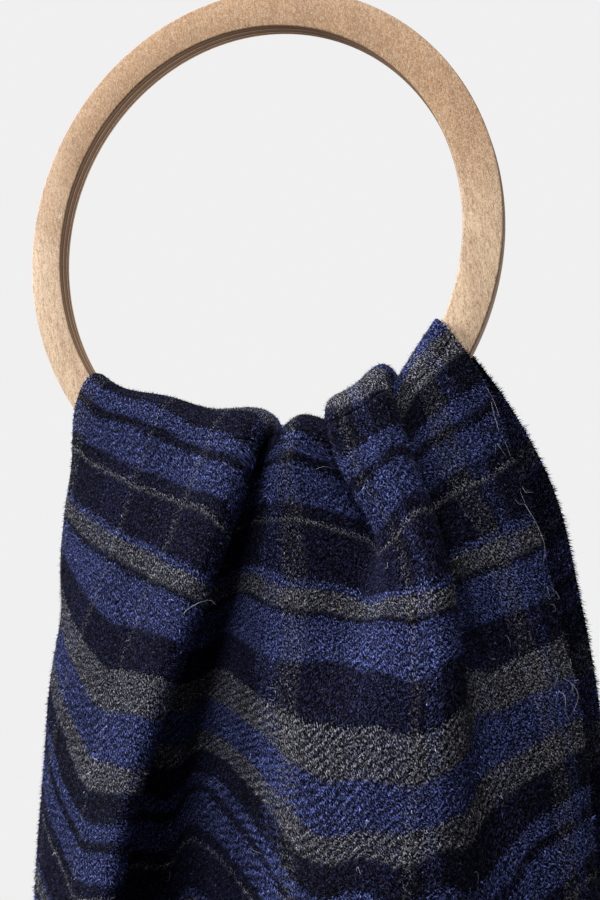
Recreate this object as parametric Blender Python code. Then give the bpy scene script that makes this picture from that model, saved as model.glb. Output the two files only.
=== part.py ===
"""Wool scarf laid through a round plywood ring hanger.

Metres, +Z up, the front towards -Y. The origin is the point on the inside of the
ring's top that rests on a peg, half way through the ring's thickness.
"""
import math

import bmesh
import bpy
import numpy as np

MM = 0.001

# Ring hanger: a flat ring cut from plywood, with its long edges eased.
RING_OUTER_RADIUS = 0.1300
RING_INNER_RADIUS = 0.1113
RING_THICKNESS = 0.0095
RING_EASING = 0.0008
RING_SEGMENTS = 96

# Scarf: one length of brushed wool, its two ends hanging in front and behind.
CLOTH_THICKNESS = 0.0020
SEAM_GAP = 0.0003
ARCH_ROWS = 6
ROWS_TO_FIRST_LEVEL = 2
ROW_HEIGHT_NEAR_RING = 23.0
ROW_HEIGHT_LOW = 58.0
CLOSE_ROWS_DOWN_TO = 320.0

# Each row of the tables is a fold line, which runs along the cloth from one end to
# the other. The rows cross the scarf from its left edge to its right edge, as seen
# from the front. All their lengths are in millimetres, from the ring's centre.
#
# weft: distance across the flat cloth. splits: faces up to the next fold line.
# top_x, top_below: where the line crosses over the ring. arch, square: height and
# squareness of the bend over the ring. reach: how far the cloth stands out there.
# spring_x: x where the bend ends. front_hem, back_hem: how far down the ends reach.
FOLDS = (
    # name       weft splits top_x top_below arch square reach spring_x front_hem back_hem
    ("edge_l",      0,  2,   -89,   62.8,    9,  4.4,   8,    -94,    1008,   972),
    ("roll_l",     16,  3,   -77,   70.0,   12,  2.6,  10,    -81,    1009,   974),
    ("panel_l",    52,  3,   -45,   77.0,   16,  2.2,  14,    -48,    1011,   980),
    ("crest_l",    86,  3,   -14,   84.5,   16,  2.2,  16,    -16,    1012,   984),
    ("lip_a",     114,  2,    13,   88.0,   14,  2.2,  17,     13,    1010,   986),
    ("turn_a",    121,  3,    15,   93.0,   11,  2.2,  14,     14,    1009,   986),
    ("under_a",   146,  3,    -8,   98.5,    9,  2.4,  11,    -11,    1007,   985),
    ("floor_a",   163,  3,    -2,  108.0,    5,  4.0,   8,     -5,    1008,   984),
    ("flank_a",   182,  3,    21,   95.0,   10,  2.4,  10,     20,    1010,   985),
    ("centre",    204,  3,    36,   89.0,   12,  2.2,  13,     37,    1014,   990),
    ("valley_b",  224,  3,    54,   94.6,    8,  4.4,   8,     57,    1018,   994),
    ("pleat_l",   242,  3,    47,   83.0,   12,  2.2,  16,     50,    1021,   997),
    ("pleat",     262,  3,    60,   74.0,   14,  2.2,  18,     65,    1022,   999),
    ("lip_c",     280,  2,    74,   65.5,   14,  2.2,  17,     79,    1020,   998),
    ("turn_c",    287,  3,    76,   70.5,   12,  2.2,  14,     80,    1018,   996),
    ("under_c",   302,  2,    64,   79.0,   10,  2.4,  11,     68,    1013,   992),
    ("valley_c",  315,  2,    72,   81.5,    7,  4.4,   8,     75,    1008,   988),
    ("rise_r",    329,  2,    82,   69.5,   10,  2.6,  10,     86,    1003,   984),
    ("panel_r",   347,  3,    89,   58.5,   12,  2.4,  11,     96,     996,   978),
    ("edge_r",    378,  0,    99,   44.4,    9,  4.4,   8,    107,     984,   968),
)

# Depths below the ring's centre at which the next tables give the front's folds.
# The last column of each row is the fold's place at the hem.
FRONT_LEVELS = (115, 140, 180, 225, 270, 320, 450, 700)
FRONT_X = {
    #            115   140   180   225   270   320   450   700   hem
    "edge_l":   (-99, -103, -106,  -98,  -93,  -90,  -92, -108, -128),
    "roll_l":   (-87,  -90,  -96, -105, -107, -110, -112, -120, -116),
    "panel_l":  (-53,  -56,  -62,  -70,  -75,  -79,  -84,  -92,  -86),
    "crest_l":  (-20,  -25,  -34,  -44,  -52,  -60,  -66,  -66,  -54),
    "lip_a":    (11,     4,   -9,  -23,  -35,  -44,  -48,  -40,  -26),
    "turn_a":   (11,     4,   -9,  -24,  -37,  -46,  -48,  -36,  -18),
    "under_a":  (-17,  -20,  -30,  -40,  -48,  -52,  -46,  -26,   -2),
    "floor_a":  (-6,   -11,  -19,  -30,  -37,  -40,  -30,  -10,   14),
    "flank_a":  (14,     9,    0,  -12,  -20,  -24,  -10,    8,   32),
    "centre":   (37,    38,   32,   24,   20,   18,   20,   32,   54),
    "valley_b": (62,    69,   64,   56,   52,   50,   46,   52,   74),
    "pleat_l":  (58,    73,   80,   76,   73,   72,   66,   70,   92),
    "pleat":    (73,    87,   96,   97,   95,   94,   88,   90,  110),
    "lip_c":    (92,   102,  111,  113,  113,  112,  110,  110,  128),
    "turn_c":   (92,   102,  112,  116,  117,  117,  116,  117,  135),
    "under_c":  (74,    87,  104,  118,  122,  124,  126,  130,  148),
    "valley_c": (82,    95,  110,  126,  131,  135,  140,  146,  163),
    "rise_r":   (93,   105,  119,  134,  139,  143,  150,  157,  173),
    "panel_r":  (108,  119,  131,  143,  149,  153,  162,  172,  186),
    "edge_r":   (136,  144,  153,  162,  166,  169,  178,  192,  200),
}
# How far each fold stands forward of the ring's middle plane.
FRONT_REACH = {
    #            115   140   180   225   270   320   450   700   hem
    "edge_l":   (9,     9,     7,    2,   -1,   -1,    0,    4,    8),
    "roll_l":   (12,    14,   17,   15,   14,   13,   14,   18,   22),
    "panel_l":  (18,    22,   29,   35,   40,   43,   42,   40,   38),
    "crest_l":  (23,    27,   35,   43,   49,   53,   53,   50,   42),
    "lip_a":    (26,    29,   35,   43,   49,   54,   53,   44,   28),
    "turn_a":   (20,    23,   29,   36,   42,   46,   45,   36,   24),
    "under_a":  (16,    18,   21,   25,   26,   25,   20,   16,   12),
    "floor_a":  (8,      8,    8,    8,    8,    8,    6,    6,    8),
    "flank_a":  (11,    12,   12,   13,   13,   12,   11,   14,   18),
    "centre":   (17,    20,   26,   31,   35,   37,   38,   38,   34),
    "valley_b": (9,     13,   22,   38,   47,   51,   51,   46,   37),
    "pleat_l":  (21,    23,   32,   43,   51,   56,   55,   48,   38),
    "pleat":    (26,    29,   37,   45,   52,   56,   55,   47,   35),
    "lip_c":    (25,    29,   35,   41,   47,   50,   48,   40,   26),
    "turn_c":   (19,    22,   28,   35,   42,   45,   43,   35,   22),
    "under_c":  (15,    16,   18,   24,   30,   33,   32,   26,   14),
    "valley_c": (8,      8,   11,   17,   22,   25,   24,   18,    8),
    "rise_r":   (12,    13,   16,   20,   22,   24,   23,   17,    9),
    "panel_r":  (14,    15,   18,   20,   21,   22,   21,   18,   14),
    "edge_r":   (8,      8,    8,    8,    8,    8,    8,   10,   16),
}

# The back's folds, which nothing but the ring's wall side shows.
BACK_LEVELS = (115, 180, 270, 450)
BACK_X = {
    #            115   180   270   450   hem
    "edge_l":   (-97, -104, -110, -116, -132),
    "roll_l":   (-84,  -91,  -98, -106, -118),
    "panel_l":  (-52,  -58,  -66,  -74,  -84),
    "crest_l":  (-18,  -26,  -36,  -42,  -48),
    "lip_a":    (20,     6,   -6,  -12,  -16),
    "turn_a":   (21,     7,   -5,   -9,   -8),
    "under_a":  (-10,  -16,  -18,   -8,    4),
    "floor_a":  (-5,    -7,   -8,    6,   20),
    "flank_a":  (21,    14,   12,   22,   37),
    "centre":   (40,    36,   34,   42,   58),
    "valley_b": (58,    60,   56,   62,   82),
    "pleat_l":  (57,    68,   74,   82,  100),
    "pleat":    (72,    86,   94,  100,  116),
    "lip_c":    (90,   100,  108,  114,  131),
    "turn_c":   (90,   101,  112,  120,  137),
    "under_c":  (76,    92,  114,  128,  147),
    "valley_c": (86,   102,  124,  138,  159),
    "rise_r":   (98,   115,  136,  150,  169),
    "panel_r":  (115,  133,  150,  163,  181),
    "edge_r":   (146,  162,  174,  184,  198),
}
BACK_REACH = {
    #            115   180   270   450   hem
    "edge_l":   (9,     11,   14,   14,   10),
    "roll_l":   (12,    18,   24,   24,   18),
    "panel_l":  (18,    28,   38,   38,   30),
    "crest_l":  (22,    32,   42,   42,   34),
    "lip_a":    (25,    34,   42,   42,   28),
    "turn_a":   (19,    28,   35,   35,   23),
    "under_a":  (16,    21,   24,   22,   16),
    "floor_a":  (8,     10,   11,   11,   10),
    "flank_a":  (11,    13,   16,   17,   16),
    "centre":   (17,    25,   34,   36,   31),
    "valley_b": (9,     12,   14,   17,   19),
    "pleat_l":  (20,    25,   28,   28,   26),
    "pleat":    (25,    31,   37,   37,   30),
    "lip_c":    (25,    30,   35,   35,   25),
    "turn_c":   (19,    24,   29,   28,   20),
    "under_c":  (15,    17,   20,   19,   14),
    "valley_c": (8,      9,   12,   12,   10),
    "rise_r":   (12,    15,   20,   20,   15),
    "panel_r":  (14,    19,   25,   24,   19),
    "edge_r":   (10,    14,   17,   16,   14),
}

WOOL_COLOUR = (0.026, 0.034, 0.110, 1.0)
PLYWOOD_COLOUR = (0.42, 0.25, 0.13, 1.0)


def clear_scene():
    for old in list(bpy.data.objects):
        bpy.data.objects.remove(old, do_unlink=True)


def make_material(name, colour, roughness):
    material = bpy.data.materials.new(name)
    material.use_nodes = True
    shader = material.node_tree.nodes["Principled BSDF"]
    shader.inputs["Base Color"].default_value = colour
    shader.inputs["Roughness"].default_value = roughness
    shader.inputs["Metallic"].default_value = 0.0
    return material


def add_object(name, mesh, material, parent):
    """Link a mesh that is drawn around the ring's centre."""
    mesh.materials.append(material)
    part = bpy.data.objects.new(name, mesh)
    bpy.context.collection.objects.link(part)
    part.parent = parent
    part.location = (0.0, 0.0, -RING_INNER_RADIUS)
    return part


def smooth_curve(stations, values, wanted):
    """Smooth curve through values at stations, read at one wanted station."""
    gaps = np.diff(stations)
    slopes = np.diff(values) / gaps
    tangents = np.empty(len(values))
    tangents[0] = slopes[0]
    tangents[-1] = slopes[-1]
    tangents[1:-1] = (slopes[:-1] * gaps[1:] + slopes[1:] * gaps[:-1]) / (gaps[:-1] + gaps[1:])
    i = int(np.clip(np.searchsorted(stations, wanted, side="right") - 1, 0, len(gaps) - 1))
    t = (wanted - stations[i]) / gaps[i]
    start = (1 + 2 * t) * (1 - t) ** 2 * values[i]
    end = t * t * (3 - 2 * t) * values[i + 1]
    leave = t * (1 - t) ** 2 * gaps[i] * tangents[i]
    arrive = t * t * (t - 1) * gaps[i] * tangents[i + 1]
    return start + end + leave + arrive


def weft_blend(knots, wanted):
    """Weights that turn points on the fold lines into a natural spline across them."""
    count = len(knots)
    gaps = np.diff(knots)
    system = np.eye(count)
    bends = np.zeros((count, count))
    for k in range(1, count - 1):
        system[k, k - 1] = gaps[k - 1]
        system[k, k] = 2 * (gaps[k - 1] + gaps[k])
        system[k, k + 1] = gaps[k]
        bends[k, k - 1] = 6 / gaps[k - 1]
        bends[k, k] = -6 / gaps[k - 1] - 6 / gaps[k]
        bends[k, k + 1] = 6 / gaps[k]
    curvature = np.linalg.solve(system, bends)
    weights = np.zeros((len(wanted), count))
    for row, u in enumerate(wanted):
        i = int(np.clip(np.searchsorted(knots, u, side="right") - 1, 0, count - 2))
        before = (knots[i + 1] - u) / gaps[i]
        after = (u - knots[i]) / gaps[i]
        weights[row, i] += before
        weights[row, i + 1] += after
        weights[row] += (before ** 3 - before) * gaps[i] ** 2 / 6 * curvature[i]
        weights[row] += (after ** 3 - after) * gaps[i] ** 2 / 6 * curvature[i + 1]
    return weights


def weft_stations():
    """Distances across the cloth at which the wall has a line of points."""
    stations = []
    for fold, following in zip(FOLDS, FOLDS[1:]):
        for step in range(fold[2]):
            stations.append(fold[1] + (following[1] - fold[1]) * step / fold[2])
    stations.append(FOLDS[-1][1])
    return stations


def fold_line(fold, levels, x_table, reach_table, hem, side):
    """A function from depth to the point of one fold line on one side of the ring."""
    name, _, _, top_x, top_below, arch, _, reach, spring_x = fold[:9]
    stations = np.array((top_below, top_below + arch) + levels + (hem,), dtype=float)
    across = np.array((top_x, spring_x) + x_table[name], dtype=float)
    first = reach + (reach_table[name][0] - reach) * arch / (levels[0] - top_below)
    outward = np.array((reach, first) + reach_table[name], dtype=float)

    def at(below, spread=1.0):
        x = smooth_curve(stations, across, below)
        y = side * spread * smooth_curve(stations, outward, below)
        return (x, y, -below)

    return at


def side_rows(side):
    """Rows of points on the fold lines, from the top of the bend down to the hem."""
    if side < 0:
        levels, x_table, reach_table, hem_column = FRONT_LEVELS, FRONT_X, FRONT_REACH, 9
    else:
        levels, x_table, reach_table, hem_column = BACK_LEVELS, BACK_X, BACK_REACH, 10
    lines = [fold_line(fold, levels, x_table, reach_table, fold[hem_column], side) for fold in FOLDS]
    rows = []
    for step in range(ARCH_ROWS + 1):
        angle = math.pi / 2 * step / ARCH_ROWS
        row = []
        for fold, line in zip(FOLDS, lines):
            below = fold[4] + fold[5] * (1 - math.cos(angle))
            row.append(line(below, math.sin(angle) ** (2 / fold[6])))
        rows.append(row)
    for step in range(1, ROWS_TO_FIRST_LEVEL + 1):
        share = step / ROWS_TO_FIRST_LEVEL
        row = []
        for fold, line in zip(FOLDS, lines):
            spring = fold[4] + fold[5]
            row.append(line(spring + (levels[0] - spring) * share))
        rows.append(row)
    close_rows = round((CLOSE_ROWS_DOWN_TO - levels[0]) / ROW_HEIGHT_NEAR_RING)
    for step in range(1, close_rows + 1):
        below = levels[0] + (CLOSE_ROWS_DOWN_TO - levels[0]) * step / close_rows
        rows.append([line(below) for line in lines])
    longest = max(fold[hem_column] for fold in FOLDS)
    low_rows = round((longest - CLOSE_ROWS_DOWN_TO) / ROW_HEIGHT_LOW)
    for step in range(1, low_rows + 1):
        share = step / low_rows
        row = []
        for fold, line in zip(FOLDS, lines):
            row.append(line(CLOSE_ROWS_DOWN_TO + (fold[hem_column] - CLOSE_ROWS_DOWN_TO) * share))
        rows.append(row)
    return rows


def cloth_grid():
    """The scarf's middle surface in metres, front hem first, and its two seam rows."""
    front = side_rows(-1)
    back = side_rows(1)
    fold_points = np.array(front[::-1] + back[1:])
    weights = weft_blend([float(fold[1]) for fold in FOLDS], weft_stations())
    grid = np.einsum("uk,rkc->ruc", weights, fold_points) * MM
    top_row = len(front) - 1
    return grid, top_row - ARCH_ROWS, top_row + ARCH_ROWS


def cloth_normals(grid):
    """Directions square to the cloth at every point of the grid."""
    along = np.gradient(grid, axis=0)
    across = np.gradient(grid, axis=1)
    normals = np.cross(across, along)
    return normals / np.linalg.norm(normals, axis=2)[:, :, None]


def drawn_back(grid, normals, row, neighbour):
    """A seam row moved half a seam gap into its own piece, square to the seam."""
    square = np.cross(normals[row], np.gradient(grid[row], axis=0))
    square /= np.linalg.norm(square, axis=1)[:, None]
    towards = np.sign(np.sum(square * (grid[neighbour] - grid[row]), axis=1))
    return grid[row] + square * towards[:, None] * SEAM_GAP / 2


def cloth_wall(grid, normals, first, last, gap_at_first, gap_at_last):
    """The two faces of the cloth, as grids of points, from row first to row last."""
    middle = grid[first:last + 1].copy()
    if gap_at_first:
        middle[0] = drawn_back(grid, normals, first, first + 1)
    if gap_at_last:
        middle[-1] = drawn_back(grid, normals, last, last - 1)
    offset = normals[first:last + 1] * CLOTH_THICKNESS / 2
    return middle + offset, middle - offset


def cell_triangles(middle, r, c):
    """Corners of a cell's two triangles, which meet on its shorter diagonal."""
    here, right, down, across = (r, c), (r, c + 1), (r + 1, c), (r + 1, c + 1)
    falling = np.linalg.norm(middle[here] - middle[across])
    rising = np.linalg.norm(middle[right] - middle[down])
    if falling < rising:
        return (here, down, across), (here, across, right)
    return (here, down, right), (right, down, across)


def border_edges(rows, columns):
    """Pairs of neighbouring points along the four edges of a grid."""
    pairs = []
    for r in (0, rows - 1):
        pairs += [((r, c), (r, c + 1)) for c in range(columns - 1)]
    for c in (0, columns - 1):
        pairs += [((r, c), (r + 1, c)) for r in range(rows - 1)]
    return pairs


def add_cloth(name, faces, material, parent):
    """A closed wall between two grids of points, with its edges capped."""
    rows, columns = faces[0].shape[:2]
    build = bmesh.new()
    upper, lower = [
        [[build.verts.new(point) for point in row] for row in face.tolist()] for face in faces
    ]
    for r in range(rows - 1):
        for c in range(columns - 1):
            for corners in cell_triangles(faces[0] + faces[1], r, c):
                build.faces.new([upper[i][j] for i, j in corners])
                build.faces.new([lower[i][j] for i, j in reversed(corners)])
    for (r, c), (r_next, c_next) in border_edges(rows, columns):
        near_pair = (upper[r][c], lower[r][c])
        far_pair = (upper[r_next][c_next], lower[r_next][c_next])
        build.faces.new((near_pair[0], far_pair[0], far_pair[1]))
        build.faces.new((near_pair[0], far_pair[1], near_pair[1]))
    bmesh.ops.recalc_face_normals(build, faces=build.faces)
    mesh = bpy.data.meshes.new(name)
    build.to_mesh(mesh)
    build.free()
    mesh.shade_smooth()
    mesh.set_sharp_from_angle(angle=math.radians(60))
    return add_object(name, mesh, material, parent)


def ring_profile():
    """The ring's section as (radius, y) corners, with all four edges eased."""
    inner, outer = RING_INNER_RADIUS, RING_OUTER_RADIUS
    half, ease = RING_THICKNESS / 2, RING_EASING
    return (
        (inner, -half + ease), (inner + ease, -half),
        (outer - ease, -half), (outer, -half + ease),
        (outer, half - ease), (outer - ease, half),
        (inner + ease, half), (inner, half - ease),
    )


def add_ring(material, parent):
    build = bmesh.new()
    corners = [build.verts.new((radius, y, 0.0)) for radius, y in ring_profile()]
    edges = [build.edges.new((a, b)) for a, b in zip(corners, corners[1:] + corners[:1])]
    bmesh.ops.spin(
        build, geom=corners + edges, cent=(0.0, 0.0, 0.0), axis=(0.0, 1.0, 0.0),
        dvec=(0.0, 0.0, 0.0), angle=2 * math.pi, steps=RING_SEGMENTS, use_merge=True,
    )
    bmesh.ops.remove_doubles(build, verts=build.verts, dist=1e-6)
    bmesh.ops.recalc_face_normals(build, faces=build.faces)
    mesh = bpy.data.meshes.new("ring_hanger")
    build.to_mesh(mesh)
    build.free()
    mesh.shade_smooth()
    mesh.set_sharp_from_angle(angle=math.radians(30))
    return add_object("ring_hanger", mesh, material, parent)


clear_scene()
peg_point = bpy.data.objects.new("peg_point", None)
bpy.context.collection.objects.link(peg_point)

add_ring(make_material("birch_plywood", PLYWOOD_COLOUR, 0.55), peg_point)

wool = make_material("wool_check", WOOL_COLOUR, 0.95)
scarf, front_seam, back_seam = cloth_grid()
facing = cloth_normals(scarf)
hem = len(scarf) - 1
add_cloth("scarf_front_fall", cloth_wall(scarf, facing, 0, front_seam, False, True), wool, peg_point)
add_cloth("scarf_over_ring", cloth_wall(scarf, facing, front_seam, back_seam, True, True), wool, peg_point)
add_cloth("scarf_back_fall", cloth_wall(scarf, facing, back_seam, hem, True, False), wool, peg_point)
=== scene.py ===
"""Wool scarf laid through a round plywood ring hanger.

Metres, +Z up, the front towards -Y. The origin is the point on the inside of the
ring's top that rests on a peg, half way through the ring's thickness.
"""

import math

import bmesh
import bpy
import numpy as np
from mathutils import Matrix, Vector


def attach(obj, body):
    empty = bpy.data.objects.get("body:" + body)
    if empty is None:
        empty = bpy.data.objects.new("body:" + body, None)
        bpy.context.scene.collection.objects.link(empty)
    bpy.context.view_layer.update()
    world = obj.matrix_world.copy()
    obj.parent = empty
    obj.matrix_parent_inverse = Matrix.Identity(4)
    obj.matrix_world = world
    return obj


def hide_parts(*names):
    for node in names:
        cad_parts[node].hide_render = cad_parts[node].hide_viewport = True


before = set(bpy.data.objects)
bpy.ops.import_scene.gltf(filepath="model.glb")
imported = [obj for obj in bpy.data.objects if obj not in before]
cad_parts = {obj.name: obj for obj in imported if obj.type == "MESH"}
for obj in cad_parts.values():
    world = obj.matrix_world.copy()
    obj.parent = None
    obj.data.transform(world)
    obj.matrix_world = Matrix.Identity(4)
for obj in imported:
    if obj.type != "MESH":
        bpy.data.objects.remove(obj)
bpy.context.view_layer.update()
MM = 0.001


# The camera. It stands close to the ring, a little to its right and below its middle,
# and looks left and slightly up, with the ring's top at the picture's upper edge.
CAMERA_PLACE = (0.17543, -0.39945, -0.22748)
CAMERA_LOOK = (-0.34367938, 0.93872915, 0.02592414)
CAMERA_UP = (0.00891259, -0.02434393, 0.99966391)
FOCAL_LENGTH_MM = 34.0
SENSOR_WIDTH_MM = 36.0
NEAREST_SEEN = 0.01


def placed(name, data):
    """A new object in the scene."""
    thing = bpy.data.objects.new(name, data)
    bpy.context.collection.objects.link(thing)
    return thing


def place_camera():
    look, up = Vector(CAMERA_LOOK).normalized(), Vector(CAMERA_UP).normalized()
    right = look.cross(up).normalized()
    turn = Matrix((right, right.cross(look), -look)).transposed().to_4x4()
    lens = bpy.data.cameras.new("camera")
    lens.lens = FOCAL_LENGTH_MM
    lens.sensor_width = SENSOR_WIDTH_MM
    lens.clip_start = NEAREST_SEEN
    camera = placed("camera", lens)
    camera.matrix_world = Matrix.Translation(CAMERA_PLACE) @ turn
    bpy.context.scene.camera = camera


place_camera()


# The studio. A large soft light stands high on the far left, another hangs overhead
# in front, and a third lights the back. The room itself is dim, and the floor pale.
STUDIO_LIGHTS = (
    # name, place, aim, width, watts
    ("side", (-2.63, -0.70, 1.02), (0.0, 0.0, -0.25), 1.00, 122.0),
    ("overhead", (-0.18, -1.00, 1.93), (0.02, 0.0, -0.25), 1.30, 70.0),
    ("back", (0.90, 1.25, -0.40), (0.0, 0.0, -0.15), 1.00, 23.0),
)
BACKDROP_WHITE = (1.0, 1.0, 1.0, 1.0)
BACKDROP_BRIGHTNESS = 0.87
ROOM_WHITE = (0.95, 0.98, 1.0, 1.0)
ROOM_BRIGHTNESS = 0.02
FLOOR_GREY = (0.52, 0.52, 0.52, 1.0)
FLOOR_DROP = 1.16
FLOOR_FADE_START = 0.75
FLOOR_FADE_END = 1.30


def wire(tree, kind, inputs=None, **settings):
    """A new node. Each input is a value, or the socket that feeds it."""
    node = tree.nodes.new(kind)
    for name, value in settings.items():
        setattr(node, name, value)
    for name, value in (inputs or {}).items():
        socket = node.inputs[name]
        if isinstance(value, bpy.types.NodeSocket):
            tree.links.new(value, socket)
        else:
            socket.default_value = value
    return node


def share(tree, value, low, high):
    """How far value has come from low to high, from 0 to 1 and eased at both ends."""
    inputs = {"Value": value, "From Min": low, "From Max": high}
    return wire(tree, "ShaderNodeMapRange", inputs, interpolation_type="SMOOTHSTEP").outputs[0]


def painted(name):
    """A new material, its node tree and its shader."""
    paint = bpy.data.materials.new(name)
    paint.use_nodes = True
    return paint, paint.node_tree, paint.node_tree.nodes["Principled BSDF"]


def hang_lights():
    for name, place, aim, width, watts in STUDIO_LIGHTS:
        lamp = bpy.data.lights.new(name, "AREA")
        lamp.shape = "SQUARE"
        lamp.size = width
        lamp.energy = watts
        holder = placed(name, lamp)
        holder.location = place
        towards = Vector(aim) - Vector(place)
        holder.rotation_euler = towards.to_track_quat("-Z", "Y").to_euler()


def dim_room():
    """A room that looks bright to the camera and lights the scarf only a little."""
    world = bpy.data.worlds.new("pale_room")
    bpy.context.scene.world = world
    world.use_nodes = True
    tree = world.node_tree
    tree.nodes.clear()
    inputs = {"Color": BACKDROP_WHITE, "Strength": BACKDROP_BRIGHTNESS}
    seen = wire(tree, "ShaderNodeBackground", inputs).outputs[0]
    inputs = {"Color": ROOM_WHITE, "Strength": ROOM_BRIGHTNESS}
    felt = wire(tree, "ShaderNodeBackground", inputs).outputs[0]
    direct = wire(tree, "ShaderNodeLightPath").outputs["Is Camera Ray"]
    both = wire(tree, "ShaderNodeMixShader", {"Fac": direct, 1: felt, 2: seen}).outputs[0]
    wire(tree, "ShaderNodeOutputWorld", {"Surface": both})
    bpy.context.scene.view_settings.view_transform = "Standard"


def lay_floor():
    """A pale round floor that fades out before its edge."""
    build = bmesh.new()
    bmesh.ops.create_circle(build, cap_ends=True, segments=96, radius=FLOOR_FADE_END)
    mesh = bpy.data.meshes.new("floor")
    build.to_mesh(mesh)
    build.free()
    floor = placed("floor", mesh)
    floor.location = (0.0, 0.0, -FLOOR_DROP)
    paint, tree, shader = painted("floor")
    shader.inputs["Base Color"].default_value = FLOOR_GREY
    shader.inputs["Roughness"].default_value = 0.9
    place = wire(tree, "ShaderNodeTexCoord").outputs["Object"]
    away = wire(tree, "ShaderNodeVectorMath", {0: place}, operation="LENGTH").outputs["Value"]
    faded = share(tree, away, FLOOR_FADE_START, FLOOR_FADE_END)
    clear = wire(tree, "ShaderNodeBsdfTransparent").outputs[0]
    inputs = {"Fac": faded, 1: shader.outputs[0], 2: clear}
    both = wire(tree, "ShaderNodeMixShader", inputs).outputs[0]
    tree.links.new(both, tree.nodes["Material Output"].inputs["Surface"])
    mesh.materials.append(paint)


hang_lights()
dim_room()
lay_floor()


# The ring hanger: a flat ring cut from seven-ply birch plywood, its arrises sanded off
# and its faces oiled. The veneer's grain runs nearly upright, and the cut edges show
# the plies, light and brown in turn, with thin dark glue lines between them.
RING_OUTER_RADIUS = 0.1300
RING_INNER_RADIUS = 0.1113
RING_THICKNESS = 0.0095
RING_EASING = 0.0008
RING_STEPS = 256
ARRIS_STEPS = 4
ARRIS_SHARPNESS = math.radians(40)
GRAIN_LEAN = math.radians(9)
FACE_LIGHT = (0.960, 0.700, 0.470)
FACE_TAN = (0.580, 0.345, 0.182)
FACE_BROWN = (0.290, 0.150, 0.070)
PORE_BROWN = (0.210, 0.110, 0.058)
# The pale of the painted glints on the veneer's grain.
PAINTED_GLINT = (0.950, 0.780, 0.620)
SCUFF_PALE = (0.800, 0.660, 0.500)
PLY_LIGHT = (0.600, 0.430, 0.290)
PLY_BROWN = (0.270, 0.160, 0.100)
PLY_GLUE = (0.110, 0.064, 0.042)
PLIES = (
    # start of each layer as a share of the thickness, from the front face, and its colour
    (0.00, PLY_LIGHT), (0.07, PLY_GLUE), (0.10, PLY_BROWN), (0.33, PLY_GLUE),
    (0.36, PLY_LIGHT), (0.44, PLY_GLUE), (0.47, PLY_BROWN), (0.66, PLY_GLUE),
    (0.69, PLY_LIGHT), (0.79, PLY_GLUE), (0.82, PLY_BROWN), (0.94, PLY_LIGHT),
)
PLY_WANDER = 0.0007
VENEER_GRAIN = {
    # strokes to the metre across and along the grain, detail, roughness, distortion
    "figure": (90.0, 16.0, 3.0, 0.5, 0.6),
    "streaks": (1000.0, 160.0, 2.0, 0.5, 0.8),
    "pores": (1050.0, 380.0, 2.0, 0.7, 1.2),
    "flecks_and_glints": (1900.0, 1000.0, 1.0, 0.6, 1.5),
}
VENEER_MARKS = (
    # grain, where its colour starts and is full, strength, colour
    ("figure", 0.50, 0.68, 0.28, FACE_BROWN),
    ("streaks", 0.46, 0.62, 0.34, FACE_BROWN),
    ("pores", 0.47, 0.62, 0.44, FACE_BROWN),
    ("pores", 0.60, 0.70, 0.34, PORE_BROWN),
    # The pale flecks are painted glints: light caught on the grain, painted into the colour. The brown ones
    # below are the grain's own.
    ("flecks_and_glints", 0.50, 0.60, 0.42, PAINTED_GLINT),
    ("flecks_and_glints", 0.50, 0.40, 0.30, FACE_BROWN),
)
# The veneer is browner towards the top of the ring, and scuffed at one place.
BROWN_FROM, BROWN_TO = -0.125, -0.045
SCUFF_AT = (-0.1106, -0.0047, -0.0852)
SCUFF_REACH = (0.0052, 0.0042)
SCUFF_RAGGEDNESS = 0.0070


def sum_of(tree, operation, first, second=0.0, third=0.0):
    """The result of one Math node."""
    inputs = {0: first, 1: second, 2: third}
    return wire(tree, "ShaderNodeMath", inputs, operation=operation).outputs[0]


def mixed(tree, amount, first, second, blend="MIX"):
    """Two colours mixed. A colour is a socket or three numbers."""
    node = wire(tree, "ShaderNodeMix", {"Factor": amount}, data_type="RGBA", blend_type=blend)
    for socket, colour in ((node.inputs[6], first), (node.inputs[7], second)):
        if isinstance(colour, bpy.types.NodeSocket):
            tree.links.new(colour, socket)
        else:
            socket.default_value = (*colour, 1.0)
    return node.outputs[2]


def speckle(tree, place, scale, detail=2.0, roughness=0.5, distortion=0.0):
    """Smooth noise round 0.5. With no place given it reads the point's own."""
    inputs = {"Scale": scale, "Detail": detail, "Roughness": roughness, "Distortion": distortion}
    if place is not None:
        inputs["Vector"] = place
    return wire(tree, "ShaderNodeTexNoise", inputs).outputs["Fac"]


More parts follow.
